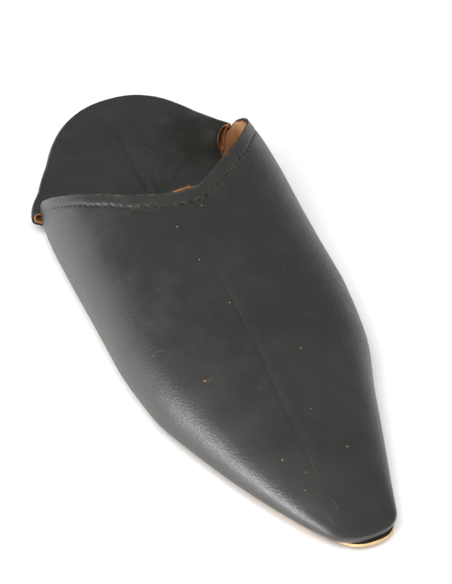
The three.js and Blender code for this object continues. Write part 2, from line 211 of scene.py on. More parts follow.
def upper_skin(f, turns, along, curl, trim=0.0):
    """Grid over the upper, [girth, along, xyz]: side seams and throat first, toe last.
    along holds the fractions from the back edge to the toe; trim moves the back edge forward."""
    along = np.asarray(along)[None, :]
    low = np.concatenate([np.arange(curl) / curl, np.ones(turns + 1), np.arange(curl)[::-1] / curl])[:, None]
    theta = np.concatenate([np.full(curl, -np.pi / 2), np.linspace(-np.pi / 2, np.pi / 2, turns + 1),
                            np.full(curl, np.pi / 2)])[:, None]
    start = back_edge(theta) + trim
    x = start + (f.end - start) * along
    gx, gy, gz = girth(f, theta, x)
    side = np.where(np.arange(len(low)) < turns / 2 + curl, -1.0, 1.0)[:, None]
    tip = along >= 1 - 1e-9
    turn = np.where(side < 0, turn_l(x), turn_m(x))
    turn = np.where(tip, (turn_l(x) + turn_m(x)) / 2, turn)
    inset = turn * (1 - low) ** 2
    ox, oy = f.offset(f.angle_at(x, side), -inset)
    ox = np.where(tip, f.end - inset, ox)
    oy = np.where(tip, f.outline(np.pi)[1], oy)
    ox = np.where(np.broadcast_to(np.arange(along.shape[1])[None, :] == 0, ox.shape), start, ox)
    foot = seat_at(ox) + GAP + TOE_LIFT * smooth((x - 264) / 10)
    oz = mix(foot, WIDE_Z, low)
    curled = np.broadcast_to(low < 1, gx.shape)
    return np.stack([np.where(curled, ox, gx), np.where(curled, oy, gy), np.where(curled, oz, gz)], -1), theta, x


def quarter_rows(ts, wall_rows, fold_rows, flap_rows, flap_list=None):
    """Outer (finished) face of the back quarter, [round the heel, up and over, xyz]."""
    rows = []
    for t in ts:
        side = -1.0 if t < 0 else 1.0
        front = (SEAM_LATERAL if side < 0 else SEAM_MEDIAL) - 2 * GAP
        a = t * float(OUTER.angle_at(front, 1))
        ox, oy = (float(v) for v in OUTER.outline(a))
        k = min(1.0, max(0.0, ox / front))
        rim = float(rim_l(ox) if side < 0 else rim_m(ox))
        ear = EAR_OUT * float(smooth((k - 0.78) / 0.22)) if side < 0 else 0.0
        wide = min(WIDE_Z, rim - FOLD_R)
        foot = float(seat_at(ox)) + GAP
        nx, ny = (float(v) for v in OUTER.normal(a))
        keep = float(smooth((k - 0.75) / 0.25))
        mx, my = mix(nx, 0, keep), mix(ny, side, keep)
        ml = math.hypot(mx, my)
        mx, my = mx / ml, my / ml
        top = rim - FOLD_R
        turn = float(turn_l(ox) if side < 0 else turn_m(ox))
        row = []
        for i in range(wall_rows):
            z = mix(foot, top, (i / wall_rows) ** 0.8)
            low = min(1.0, max(0.0, (z - foot) / (wide - foot)))
            o = -turn * (1 - low) ** 2 + ear * float(smooth(low))
            row.append((ox + o * mx, oy + o * my, z))
        reach, y, edge_z = float(reach_at(t)), float(across_at(t)), float(lip_at(t))
        o = ear - FOLD_R
        sx, sy = ox + o * mx, oy + o * my
        length = math.hypot(reach - sx, y - sy)
        rest = mix(FLAP_REST, edge_z, abs(t) ** 3)
        slope = min(math.pi / 3, math.atan((rim - 0.4 - rest) * FLAP_FALL / (0.9 * length)))
        full = math.pi / 2 + slope
        for i in range(fold_rows + 1):
            g = full * i / fold_rows
            o = ear - FOLD_R * (1 - math.cos(g))
            row.append((ox + o * mx, oy + o * my, top + FOLD_R * math.sin(g)))
        p0 = row[-1]
        p1 = (p0[0] - mx * length * 0.45, p0[1] - my * length * 0.45)
        for q in (flap_list if flap_list is not None else [i / flap_rows for i in range(1, flap_rows + 1)]):
            w0, w1, w2 = (1 - q) ** 2, 2 * q * (1 - q), q * q
            z = rest + (p0[2] - rest) * (1 - q) ** FLAP_FALL + (edge_z - rest) * float(smooth((q - 0.85) / 0.15))
            row.append((w0 * p0[0] + w1 * p1[0] + w2 * reach, w0 * p0[1] + w1 * p1[1] + w2 * y, z))
        rows.append(row)
    rows = np.array(rows)
    lean = smooth((np.asarray(ts) - 0.84) / 0.16)[:, None]
    rows[..., 0] += lean_at(rows[..., 2]) * lean
    rows[..., 1] += corner_flare(rows[..., 0], rows[..., 2]) * lean
    return rows


def grid_normals(g):
    """Unit normals of a grid of points."""
    a = np.gradient(g, axis=0)
    b = np.gradient(g, axis=1)
    n = np.cross(a, b)
    l = np.linalg.norm(n, axis=-1, keepdims=True)
    return n / np.where(l < 1e-12, 1, l)


# ---------------------------------------------------------------- meshes from grids
def dome_fractions(near, near_steps, far_steps, power):
    """Fractions from the back edge to the toe: even near the edge, then crowding at the toe."""
    w = np.linspace(0, 1, far_steps + 1)[1:]
    return np.concatenate([np.linspace(0, near, near_steps + 1), near + (1 - near) * (1 - (1 - w) ** power)])


def profile(depth, steps):
    """Half-round edge: how far across the thickness, and how far out."""
    return [((1 - math.cos(math.pi * k / steps)) / 2, depth * math.sin(math.pi * k / steps)) for k in range(1, steps)]


def shell(outer, inner, edge, curl=None, closed_start=False, closed_end=False, uv=None):
    """Closed body between two grids [across, along], with an edge profile round its open border.
    Zones: 0 outer face, 1 edge along the short sides, 2 inner face, 3 edge along the long sides.
    curl: rows on each side that stay apart where the toe end closes on itself."""
    na, nb = outer.shape[:2]
    n = na * nb
    io = np.arange(n).reshape(na, nb)
    for end, closed in ((0, closed_start), (nb - 1, closed_end)):
        if not closed:
            continue
        if curl is None:
            io[:, end] = io[0, end]
        else:
            io[curl:na - curl, end] = io[curl, end]
            for k in range(curl):
                io[na - 1 - k, end] = io[k, end]
    ii = io + n
    verts = [outer.reshape(-1, 3), inner.reshape(-1, 3)]
    quads, zone = [], []

    def add(a, b, c, d, z):
        quads.append(np.stack([a.ravel(), b.ravel(), c.ravel(), d.ravel()], 1))
        zone.append(np.broadcast_to(z, a.shape).ravel())

    add(io[:-1, :-1], io[:-1, 1:], io[1:, 1:], io[1:, :-1], 0)
    add(ii[:-1, :-1], ii[1:, :-1], ii[1:, 1:], ii[:-1, 1:], 2)
    loop = [(0, j) for j in range(nb)]
    if not closed_end:
        loop += [(i, nb - 1) for i in range(1, na - 1)] + [(na - 1, nb - 1)]
    loop += [(na - 1, j) for j in range(nb - 2, 0 if closed_start else -1, -1)]
    if not closed_start:
        loop += [(i, 0) for i in range(na - 2, 0, -1)]
    li, lj = np.array(loop).T
    inside_i, inside_j = np.clip(li, 1, na - 2), np.clip(lj, 1, nb - 2)
    for end, closed in ((0, closed_start), (nb - 1, closed_end)):
        if closed:
            inside_i = np.where(lj == end, na // 2, inside_i)
    po, pi = outer[li, lj], inner[li, lj]
    out_dir = po - outer[inside_i, inside_j]
    out_dir /= np.maximum(np.linalg.norm(out_dir, axis=1, keepdims=True), 1e-9)
    through = pi - po
    th = through / np.maximum(np.linalg.norm(through, axis=1, keepdims=True), 1e-9)
    out_dir -= th * (out_dir * th).sum(1, keepdims=True)
    out_dir /= np.maximum(np.linalg.norm(out_dir, axis=1, keepdims=True), 1e-9)
    m = len(loop)
    base = 2 * n
    rings = [io[li, lj]]
    for f, g in edge:
        verts.append(po + through * f + out_dir * g)
        rings.append(np.arange(base, base + m))
        base += m
    rings.append(ii[li, lj])
    nxt = np.roll(np.arange(m), -1)
    long_side = ((li == 0) & (li[nxt] == 0)) | ((li == na - 1) & (li[nxt] == na - 1))
    side_zone = np.where(long_side, 3, 1)
    for a, b in zip(rings[:-1], rings[1:]):
        add(a, b, b[nxt], a[nxt], side_zone)
    uvs = None
    if uv is not None:
        flat = uv.reshape(-1, 2)
        uvs = np.concatenate([flat, flat] + [uv[li, lj]] * len(edge))
    return np.concatenate(verts), np.concatenate(quads), np.concatenate(zone), uvs


def mesh_object(name, verts, quads, zone, materials, zones=(0, 0, 0, 0), uvs=None, uv_name="edge"):
    """Object in metres in the CAD frame; quads that lost a corner become triangles."""
    faces, mats = [], []
    for q, z in zip(quads.tolist(), zone.tolist()):
        f = []
        for k in q:
            if k not in f:
                f.append(k)
        if len(f) > 2:
            faces.append(f)
            mats.append(zones[z])
    used = sorted({k for f in faces for k in f})
    new = {k: i for i, k in enumerate(used)}
    pts = (verts[used] - np.array([ORIGIN_X, ORIGIN_Y, 0.0])) * 0.001
    me = bpy.data.meshes.new(name)
    me.from_pydata(pts.tolist(), [], [[new[k] for k in f] for f in faces])
    for m in materials:
        me.materials.append(m)
    me.polygons.foreach_set("material_index", mats)
    me.polygons.foreach_set("use_smooth", [True] * len(faces))
    if uvs is not None:
        layer = me.uv_layers.new(name=uv_name)
        loops = np.zeros(len(me.loops), dtype=np.int64)
        me.loops.foreach_get("vertex_index", loops)
        layer.data.foreach_set("uv", (uvs[used][loops] * 0.001).ravel().tolist())
    me.validate()
    me.update()
    ob = bpy.data.objects.new(name, me)
    bpy.context.collection.objects.link(ob)
    return ob


# ---------------------------------------------------------------- relief at listed places
# creases, ridges and scratches: station and girth angle of their points, depth (mm), width (mm)
CREASES = [
    # name                 station, girth angle (degrees)                          depth  width
    ("vamp_line_long",     [(150, -2.0), (172, -1.5), (196, -1.2), (220, -2.0), (240, -5), (258, -12)], 0.20, 1.3),
    ("vamp_line_inner",    [(160, 14), (185, 15), (210, 13), (232, 8)],            0.07, 2.0),
    ("shoulder_crease",    [(172, -40), (180, -34), (189, -28)],                   0.16, 1.4),
    ("shoulder_crease_2",  [(166, -52), (173, -45), (181, -40)],                   0.10, 1.6),
    ("under_stitch_1",     [(121, -28), (125, -22), (129, -15), (131, -9)],        0.14, 1.1),
    ("under_stitch_2",     [(128, -26), (131, -19), (133, -12)],                   0.10, 1.3),
    ("flex_outer_1",       [(186, -76), (189, -66), (190, -56)],                   0.14, 2.2),
    ("flex_outer_2",       [(176, -78), (178, -68), (178, -60)],                   0.12, 2.4),
    ("flex_inner_1",       [(182, 52), (185, 62), (186, 74)],                      0.16, 2.4),
    ("flex_inner_2",       [(170, 55), (172, 66), (172, 78)],                      0.12, 2.6),
    ("toe_pull_1",         [(262, -52), (268, -44), (274, -30)],                   0.12, 1.6),
    ("toe_pull_2",         [(258, 34), (266, 30), (274, 18)],                      0.12, 1.8),
]


def surface_xyz(points, form=OUTER):
    x = np.array([p[0] for p in points], float)
    t = np.radians(np.array([p[1] for p in points], float))
    # resample the listed points every millimetre or so
    s = np.linspace(0, len(x) - 1, 24 * (len(x) - 1) + 1)
    x, t = np.interp(s, np.arange(len(x)), x), np.interp(s, np.arange(len(t)), t)
    return np.stack(girth(form, t, x), -1)


def relief(grid, table, form=OUTER):
    """Soft troughs with a slight ridge on either side, mm along the normal."""
    pts = grid.reshape(-1, 3)
    total = np.zeros(len(pts))
    for _, points, depth, width in table:
        line = surface_xyz(points, form)
        lo, hi = line.min(0) - 5 * width, line.max(0) + 5 * width
        near = np.where(((pts >= lo) & (pts <= hi)).all(1))[0]
        if not len(near):
            continue
        d = np.linalg.norm(pts[near][:, None, :] - line[None], axis=2)
        k = d.argmin(1)
        d = d.min(1)
        s = k / (len(line) - 1)
        ends = smooth(s / 0.25) * smooth((1 - s) / 0.25)
        total[near] += ends * (-depth * np.exp(-(d / width) ** 2) + 0.35 * depth * np.exp(-((d - 2.0 * width) / width) ** 2))
    return total.reshape(grid.shape[:2])


def unevenness(grid, amount):
    """The slow hand-made waviness of soft leather."""
    x, y, z = grid[..., 0], grid[..., 1], grid[..., 2]
    return amount * (np.sin(x / 19 + 0.4) * np.sin(y / 15 + z / 21 + 1.1) * 0.5
                     + np.sin(x / 9.5 + y / 12 + 2.0) * np.sin(z / 9 - x / 31) * 0.22
                     + np.sin(x / 5.3 - y / 7.1) * np.sin(y / 6.1 + z / 5.0 + 0.7) * 0.10)


STITCH_PITCH, STITCH_IN, STITCH_R, STITCH_DEPTH = 3.55, 5.9, 0.68, 0.40


def stitch_centres(length):
    count = int((length - 10) / STITCH_PITCH)
    first = (length - (count - 1) * STITCH_PITCH) / 2
    return first + STITCH_PITCH * np.arange(count)


# ---------------------------------------------------------------- materials
def material(name):
    m = bpy.data.materials.new(name)
    m.use_nodes = True
    nt = m.node_tree
    nt.nodes.clear()
    out = nt.nodes.new("ShaderNodeOutputMaterial")
    bsdf = nt.nodes.new("ShaderNodeBsdfPrincipled")
    nt.links.new(bsdf.outputs["BSDF"], out.inputs["Surface"])
    return m, nt, bsdf


class Nodes:
    def __init__(self, nt):
        self.nt = nt
        self.coord = nt.nodes.new("ShaderNodeTexCoord")

    def node(self, kind, inputs=None, **props):
        n = self.nt.nodes.new(kind)
        for k, v in props.items():
            setattr(n, k, v)
        for k, v in (inputs or {}).items():
            if hasattr(v, "is_output"):
                self.nt.links.new(v, n.inputs[k])
            else:
                n.inputs[k].default_value = v
        return n

    def noise(self, scale, detail=3, rough=0.5, vector=None, distortion=0.0):
        return self.node("ShaderNodeTexNoise", {"Vector": vector or self.coord.outputs["Object"], "Scale": scale,
                                                "Detail": detail, "Roughness": rough, "Distortion": distortion}).outputs["Fac"]

    def cells(self, scale, feature="F1", vector=None, smoothness=None, output="Distance", randomness=1.0):
        ins = {"Vector": vector or self.coord.outputs["Object"], "Scale": scale, "Randomness": randomness}
        n = self.node("ShaderNodeTexVoronoi", ins, feature=feature)
        if smoothness is not None:
            n.inputs["Smoothness"].default_value = smoothness
        return n.outputs[output]

    def math(self, op, a, b=None, c=None, clamp=False):
        n = self.node("ShaderNodeMath", operation=op, use_clamp=clamp)
        for i, v in enumerate((a, b, c)):
            if v is None:
                continue
            if hasattr(v, "is_output"):
                self.nt.links.new(v, n.inputs[i])
            else:
                n.inputs[i].default_value = v
        return n.outputs[0]

    def ramp(self, fac, lo, hi, a=0.0, b=1.0):
        n = self.node("ShaderNodeMapRange", {"Value": fac, "From Min": lo, "From Max": hi, "To Min": a, "To Max": b},
                      interpolation_type="SMOOTHSTEP")
        return n.outputs["Result"]

    def colour(self, fac, a, b, blend="MIX"):
        n = self.node("ShaderNodeMix", data_type="RGBA", blend_type=blend)
        for key, v in (("Factor", fac),):
            if hasattr(v, "is_output"):
                self.nt.links.new(v, n.inputs[0])
            else:
                n.inputs[0].default_value = v
        for i, v in ((6, a), (7, b)):
            if hasattr(v, "is_output"):
                self.nt.links.new(v, n.inputs[i])
            else:
                n.inputs[i].default_value = (*v, 1.0)
        return n.outputs[2]

    def bump(self, height, distance, strength=1.0, normal=None):
        ins = {"Height": height, "Distance": distance, "Strength": strength}
        if normal is not None:
            ins["Normal"] = normal
        return self.node("ShaderNodeBump", ins).outputs["Normal"]


def black_leather(name, stitches=None, edge_wear=True, painted_fold_shade=None):
    m, nt, bsdf = material(name)
    k = Nodes(nt)
    cloud = k.noise(28, 4, 0.6)
    patch = k.noise(110, 3, 0.55)
    base = k.colour(k.ramp(cloud, 0.35, 0.68), (0.0160, 0.0162, 0.0145), (0.0222, 0.0225, 0.0202))
    base = k.colour(k.ramp(patch, 0.45, 0.75, 0.0, 0.25), base, (0.031, 0.0308, 0.0275))
    # fine pebbled grain, creased between the pebbles
    warp = k.noise(900, 2, 0.5)
    pebble = k.cells(1850, "SMOOTH_F1", smoothness=0.4)
    pores = k.cells(3900, "F1")
    fine = k.noise(5200, 2, 0.6)
    sparkle = k.noise(1550, 2, 0.7)
    grain = k.math("ADD", k.math("MULTIPLY", pebble, 0.60), k.math("MULTIPLY", warp, 0.25))
    grain = k.math("ADD", grain, k.math("MULTIPLY", sparkle, 0.55))
    grain = k.math("ADD", grain, k.math("MULTIPLY", pores, 0.22))
    grain = k.math("ADD", grain, k.math("MULTIPLY", fine, 0.30))
    # rubbed tops of the pebbles look greyer
    rub = k.math("MULTIPLY", k.ramp(pebble, 0.45, 0.08), k.ramp(patch, 0.4, 0.7))
    base = k.colour(k.math("MULTIPLY", rub, 0.18), base, (0.052, 0.051, 0.047))
    rough = k.math("ADD", k.math("ADD", k.ramp(cloud, 0.3, 0.7, 0.365, 0.405), k.math("MULTIPLY", k.math("SUBTRACT", sparkle, 0.5), 0.40)), k.math("MULTIPLY", k.math("SUBTRACT", pebble, 0.3), 0.12))
    normal = k.bump(k.noise(210, 3, 0.55), 0.00013, 0.55)
    normal = k.bump(grain, 0.000135, 0.9, normal)
    if stitches:
        uv = k.node("ShaderNodeUVMap", uv_map="edge")
        sep = k.node("ShaderNodeSeparateXYZ", {"Vector": uv.outputs["UV"]})
        u = k.math("MULTIPLY", sep.outputs["X"], 1000.0)
        v = k.math("MULTIPLY", sep.outputs["Y"], 1000.0)
        first, pitch, into, last = stitches
        cell = k.math("SUBTRACT", k.math("DIVIDE", u, pitch), first / pitch - 0.5)
        du = k.math("MULTIPLY", k.math("SUBTRACT", k.math("FRACT", cell), 0.5), pitch)
        dv = k.math("SUBTRACT", v, into)
        r = k.math("SQRT", k.math("ADD", k.math("POWER", k.math("MULTIPLY", du, 0.72), 2.0), k.math("POWER", dv, 2.0)))
        on = k.math("MULTIPLY", k.math("GREATER_THAN", u, first - pitch / 2), k.math("LESS_THAN", u, last + pitch / 2))
        hole = k.math("MULTIPLY", k.ramp(r, 0.78, 0.42), on)
        halo = k.math("MULTIPLY", k.ramp(r, 1.6, 0.8), on)
        base = k.colour(k.math("MULTIPLY", halo, k.math("MULTIPLY", k.ramp(k.noise(420, 2), 0.5, 0.72), 0.25)), base, (0.11, 0.10, 0.085))
        base = k.colour(hole, base, (0.009, 0.007, 0.006))
        rough = k.math("ADD", rough, k.math("MULTIPLY", hole, 0.25))
        if edge_wear:
            worn = k.math("MULTIPLY", k.ramp(v, 1.0, 0.1), k.ramp(k.noise(300, 3), 0.42, 0.66))
            base = k.colour(k.math("MULTIPLY", worn, 0.5), base, (0.11, 0.10, 0.088))
    nt.links.new(base, bsdf.inputs["Base Color"])
    nt.links.new(rough, bsdf.inputs["Roughness"])
    nt.links.new(normal, bsdf.inputs["Normal"])
    bsdf.inputs["Specular IOR Level"].default_value = 0.72
    if painted_fold_shade:
        # painted shade: the sheen is turned down round a spot inside the fold, standing in for the shade there
        (dx, dy, dz), r0, r1 = painted_fold_shade
        away = k.node("ShaderNodeVectorMath", operation="DISTANCE")
        nt.links.new(k.coord.outputs["Object"], away.inputs[0])
        away.inputs[1].default_value = (dx, dy, dz)
        nt.links.new(k.ramp(away.outputs["Value"], r0, r1, 0.10, 0.72), bsdf.inputs["Specular IOR Level"])
    return m


def tan_leather(name, light, dark, nap=1.0, grain=1.0, low=None):
    m, nt, bsdf = material(name)
    k = Nodes(nt)
    cloud = k.noise(35, 4, 0.6)
    blotch = k.noise(140, 4, 0.65, distortion=0.6)
    fibre = k.noise(1600, 4, 0.7, distortion=1.2)
    base = k.colour(k.ramp(cloud, 0.3, 0.7), dark, light)
    base = k.colour(k.ramp(blotch, 0.42, 0.72, 0.0, 0.5), base, tuple(c * 0.72 for c in dark))
    base = k.colour(k.ramp(fibre, 0.3, 0.75, 0.0, 0.35), base, tuple(min(1, c * 1.25) for c in light))
    if low:
        # darker and redder toward the bottom
        z0, z1, deep = low
        up = k.node("ShaderNodeSeparateXYZ", {"Vector": k.coord.outputs["Object"]}).outputs["Z"]
        up = k.math("ADD", up, k.math("MULTIPLY", k.math("SUBTRACT", blotch, 0.5), 0.012))
        base = k.colour(k.ramp(up, z0, z1), k.colour(k.ramp(fibre, 0.35, 0.7), tuple(c * 0.6 for c in deep), deep), base)
    height = k.math("ADD", k.math("MULTIPLY", fibre, 0.7 * nap), k.math("MULTIPLY", k.cells(1500, "SMOOTH_F1", smoothness=0.5), 0.4 * grain))
    normal = k.bump(blotch, 0.0004, 0.4)
    normal = k.bump(height, 0.00018, 0.8, normal)
    nt.links.new(base, bsdf.inputs["Base Color"])
    nt.links.new(k.ramp(cloud, 0.3, 0.7, 0.68, 0.82), bsdf.inputs["Roughness"])
    nt.links.new(normal, bsdf.inputs["Normal"])
    bsdf.inputs["Specular IOR Level"].default_value = 0.3
    bsdf.inputs["Sheen Weight"].default_value = 0.12 * nap
    bsdf.inputs["Sheen Roughness"].default_value = 0.4
    return m


def cut_edge(name, colour, dark, shaded_back=None):
    """Raw cut leather: packed fibres running along the cut; painted darker behind a station as painted shade."""
    m, nt, bsdf = material(name)
    k = Nodes(nt)
    stretch = k.node("ShaderNodeMapping", {"Vector": k.coord.outputs["Object"], "Scale": (0.25, 0.25, 2.2)}).outputs["Vector"]
    fibre = k.noise(1500, 4, 0.7, vector=stretch, distortion=0.8)
    blotch = k.noise(160, 3, 0.6)
    base = k.colour(k.ramp(fibre, 0.32, 0.7), dark, colour)
    base = k.colour(k.ramp(blotch, 0.5, 0.8, 0.0, 0.5), base, tuple(c * 0.6 for c in dark))
    if shaded_back:
        # painted shade: behind the given station the edge is darkened as if lying in shade
        share, x0, x1 = shaded_back
        along = k.node("ShaderNodeSeparateXYZ", {"Vector": k.coord.outputs["Object"]}).outputs["X"]
        along = k.math("ADD", along, k.math("MULTIPLY", k.math("SUBTRACT", blotch, 0.5), 0.05))
        shaded_colour = k.colour(k.ramp(fibre, 0.32, 0.7), tuple(c * share for c in dark), tuple(c * share for c in colour))
        base = k.colour(k.ramp(along, x0, x1), shaded_colour, base)
    nt.links.new(base, bsdf.inputs["Base Color"])
    bsdf.inputs["Roughness"].default_value = 0.75
    bsdf.inputs["Specular IOR Level"].default_value = 0.3
    nt.links.new(k.bump(fibre, 0.00022, 0.9), bsdf.inputs["Normal"])
    return m


def plain(name, colour, rough, bump=0.0, scale=900):
    m, nt, bsdf = material(name)
    k = Nodes(nt)
    n = k.noise(scale, 3)
    nt.links.new(k.colour(k.ramp(n, 0.3, 0.7), tuple(c * 0.8 for c in colour), colour), bsdf.inputs["Base Color"])
    bsdf.inputs["Roughness"].default_value = rough
    if bump:
        nt.links.new(k.bump(n, bump, 0.8), bsdf.inputs["Normal"])
    return m


# ---------------------------------------------------------------- the upper
TURNS, CURL = 360, 8
ALONG = dome_fractions(0.066, 26, 60, 1.55)

throat_grid, THETA, STATION = upper_skin(OUTER, TURNS, ALONG, CURL)
edge_line = throat_grid[:, 0]
edge_run = np.concatenate([[0], np.cumsum(np.linalg.norm(np.diff(edge_line, axis=0), axis=1))])
down = np.concatenate([np.zeros((len(edge_line), 1)),
                       np.cumsum(np.linalg.norm(np.diff(throat_grid, axis=1), axis=2), axis=1)], 1)
# the stitch row stands a little further from the edge on the inner side
level = down * (STITCH_IN / (STITCH_IN + 1.1 * smooth((np.degrees(THETA) + 10) / 50)))
UPPER_UV = np.stack([np.broadcast_to(edge_run[:, None], down.shape), level], -1)
# the row of stitches runs between the two side seams, where the edge has risen clear of them
seam_top_l = edge_run[np.argmax(edge_line[:, 2] > 20.0)]
seam_top_m = edge_run[len(edge_line) - 1 - np.argmax(edge_line[::-1, 2] > 20.0)]
count = int((seam_top_m - seam_top_l - 3) / STITCH_PITCH)
FIRST = seam_top_l + (seam_top_m - seam_top_l - (count - 1) * STITCH_PITCH) / 2
STITCHES = FIRST + STITCH_PITCH * np.arange(count)


def throat_trim(theta):
    """The hand-cut throat edge wanders a little."""
    t = np.asarray(theta)
    return 0.22 * np.sin(t * 9 + 0.5) * np.cos(t * 4) + 0.12 * np.sin(t * 23)


def upper_relief(grid, form):
    r = relief(grid, CREASES, form) + unevenness(grid, 0.45)
    # the margin above the stitches is drawn in: a shallow groove on the stitch line
    v = level - STITCH_IN
    on = smooth((edge_run - FIRST + 6) / 4) * smooth((STITCHES[-1] + 6 - edge_run) / 4)
    r = r - 0.11 * np.exp(-(v / 1.2) ** 2) * on[:, None]
    r = r + 0.06 * np.exp(-((v + 2.4) / 1.5) ** 2) * on[:, None]
    fade = smooth((STATION.max() - STATION) / 5)
    return r * np.clip(fade, 0, 1)


def dimples():
    d = np.zeros(down.shape)
    for s in STITCHES:
        du = edge_run[:, None] - s
        near = np.abs(du[:, 0]) < 2.5
        rr = (du[near] * 0.72) ** 2 + (level[near] - STITCH_IN) ** 2
        d[near] -= STITCH_DEPTH * np.exp(-rr / (STITCH_R ** 2))
    return d


LEATHER_T = 1.15
trim_row = throat_trim(THETA)
outer_form, back_form, lining_form = OUTER, upper_form(LEATHER_T), upper_form(LEATHER_T + 0.05)
g_out, _, _ = upper_skin(outer_form, TURNS, ALONG, CURL, trim_row)
g_back, _, _ = upper_skin(back_form, TURNS, ALONG, CURL, trim_row)
swell = upper_relief(g_out, OUTER)
n_out = grid_normals(g_out)
if (n_out[TURNS // 2 + CURL, 10] * np.array([0, 0, 1])).sum() < 0:
    n_out = -n_out
n_out[:, -1] = (1, 0, 0)
g_out = g_out + n_out * (swell + dimples())[..., None]
g_back = g_back + n_out * swell[..., None]

# centre of the spot inside the trodden fold where the quarter's sheen is turned down as painted shade
FOLD_SHADE_SPOT = (-0.0954, 0.0386, 0.0120)
black_upper = black_leather("black_leather_upper", stitches=(float(FIRST), STITCH_PITCH, STITCH_IN, float(STITCHES[-1])))
black_plain = black_leather("black_leather_quarter", painted_fold_shade=(FOLD_SHADE_SPOT, 0.008, 0.030))
lining = tan_leather("lining_leather_tan", (0.64, 0.38, 0.150), (0.44, 0.215, 0.075), low=(0.018, 0.031, (0.30, 0.115, 0.034)))
raw_edge = cut_edge("cut_edge_tan", (0.50, 0.235, 0.10), (0.27, 0.115, 0.045))
dark_edge = cut_edge("cut_edge_black", (0.045, 0.040, 0.036), (0.02, 0.018, 0.017))

# lighter cut edge for the toe's lower margin: painted highlight
toe_edge_highlight = cut_edge("cut_edge_painted_highlight", (0.34, 0.27, 0.19), (0.10, 0.075, 0.055))
v_, q_, z_, uv_ = shell(g_out, g_back, profile(0.5, 6), curl=CURL, closed_end=True, uv=UPPER_UV)
# round the toe the lower margin is painted lighter: a painted highlight along the upper's lower edge
z_ = np.where((z_ == 3) & (v_[q_].mean(1)[:, 0] > 226), 4, z_)
upper_leather = mesh_object("upper_leather", v_, q_, z_, [black_upper, dark_edge, toe_edge_highlight], (0, 1, 0, 1, 2), uv_)

# lining: same last, one leather in; its raw edge lies a hair below the black one and wanders
LT, LA = 200, dome_fractions(0.05, 6, 44, 1.55)
_, lth, lst = upper_skin(lining_form, LT, LA, 5)
wander = 0.75 + 0.35 * np.sin(lth * 17 + 1) * np.sin(lth * 5) + 0.25 * np.sin(lth * 41) + throat_trim(lth)
l_out, _, _ = upper_skin(lining_form, LT, LA, 5, wander)
l_in, _, _ = upper_skin(upper_form(WALL), LT, LA, 5, wander)
v_, q_, z_, _ = shell(l_out, l_in, profile(0.3, 4), curl=5, closed_end=True)
upper_lining = mesh_object("upper_lining", v_, q_, z_, [lining, raw_edge], (0, 1, 0, 1))

# ---------------------------------------------------------------- the back quarter
TS = np.linspace(-1, 1, 221)
FLAP_Q = np.concatenate([np.linspace(0, 1, 53)[1:]])
q_out = quarter_rows(TS, 12, 16, None, flap_list=FLAP_Q.tolist())
nq = grid_normals(q_out)
if nq[110, -20, 2] < 0:
    nq = -nq


def quarter_relief(g):
    flat = g.reshape(-1, 3)
    total = unevenness(g, 0.55).ravel()
    for points, depth, width in QUARTER_CREASES:
        p = np.array(points, float)
        s = np.linspace(0, len(p) - 1, 20 * (len(p) - 1) + 1)
        line = np.stack([np.interp(s, np.arange(len(p)), p[:, 0]), np.interp(s, np.arange(len(p)), p[:, 1])], -1)
        near = np.where(((flat[:, :2] >= line.min(0) - 5 * width) & (flat[:, :2] <= line.max(0) + 5 * width)).all(1))[0]
        d = np.linalg.norm(flat[near][:, None, :2] - line[None], axis=2)
        f = d.argmin(1) / (len(line) - 1)
        d = d.min(1)
        ends = smooth(f / 0.25) * smooth((1 - f) / 0.25)
        total[near] += 1.5 * ends * (-depth * np.exp(-(d / width) ** 2) + 0.4 * depth * np.exp(-((d - 2 * width) / width) ** 2))
    return total.reshape(g.shape[:2])


QUARTER_CREASES = [
    # points (station, across), depth, width (mm)
    ([(18, -2.6), (29, -3.5), (41, -3.8), (52, -4.4), (61, -4.6), (68, -4.2)], 0.30, 1.3),
    ([(30, 2.4), (35.6, 6.2), (41.1, 9.5), (44, 13)], 0.26, 1.0),
    ([(38, 1.5), (42, 6.2), (43.8, 9.1), (44.8, 12.3), (45, 18)], 0.24, 0.9),
    ([(58, 3.0), (55.1, 5.9), (52.5, 8.7), (48.7, 13.2), (45, 20)], 0.26, 1.0),
    ([(64, 6.5), (61.5, 9.4), (56.7, 13.7), (51.7, 19.8), (48, 26)], 0.28, 1.1),
    ([(55, 0.4), (59.5, 0.7), (64.8, -0.2), (70.1, -1.0)], 0.24, 1.1),
    ([(53, -14), (57.5, -8), (61, -6.5), (66, -9)], 0.34, 2.0),
    ([(24, 10), (27, 17), (29, 25)], 0.16, 1.4),
    ([(46, -26), (51, -21), (58, -19)], 0.20, 1.6),
]
rq = quarter_relief(q_out)
rq[:, :8] *= 0.3
q_face = q_out + nq * rq[..., None]
q_back = q_out - nq * 1.0 + nq * rq[..., None]
q_lin0 = q_out - nq * 1.05 + nq * rq[..., None]
q_lin1 = q_out - nq * QUARTER_T + nq * rq[..., None] * 0.6
v_, q_, z_, _ = shell(q_face, q_back, profile(0.45, 6))
z_ = np.where((z_ == 3) & (v_[q_].mean(1)[:, 1] > 0), 4, z_)
deep_edge = cut_edge("cut_edge_brown", (0.36, 0.155, 0.055), (0.14, 0.055, 0.022))
quarter_leather = mesh_object("quarter_leather", v_, q_, z_, [black_plain, raw_edge, dark_edge, deep_edge], (0, 1, 0, 2, 3))
v_, q_, z_, _ = shell(q_lin0, q_lin1, profile(0.3, 4))
z_ = np.where((z_ == 3) & (v_[q_].mean(1)[:, 1] > 0), 4, z_)
quarter_lining = mesh_object("quarter_lining", v_, q_, z_, [lining, raw_edge, deep_edge], (0, 1, 0, 1, 2))


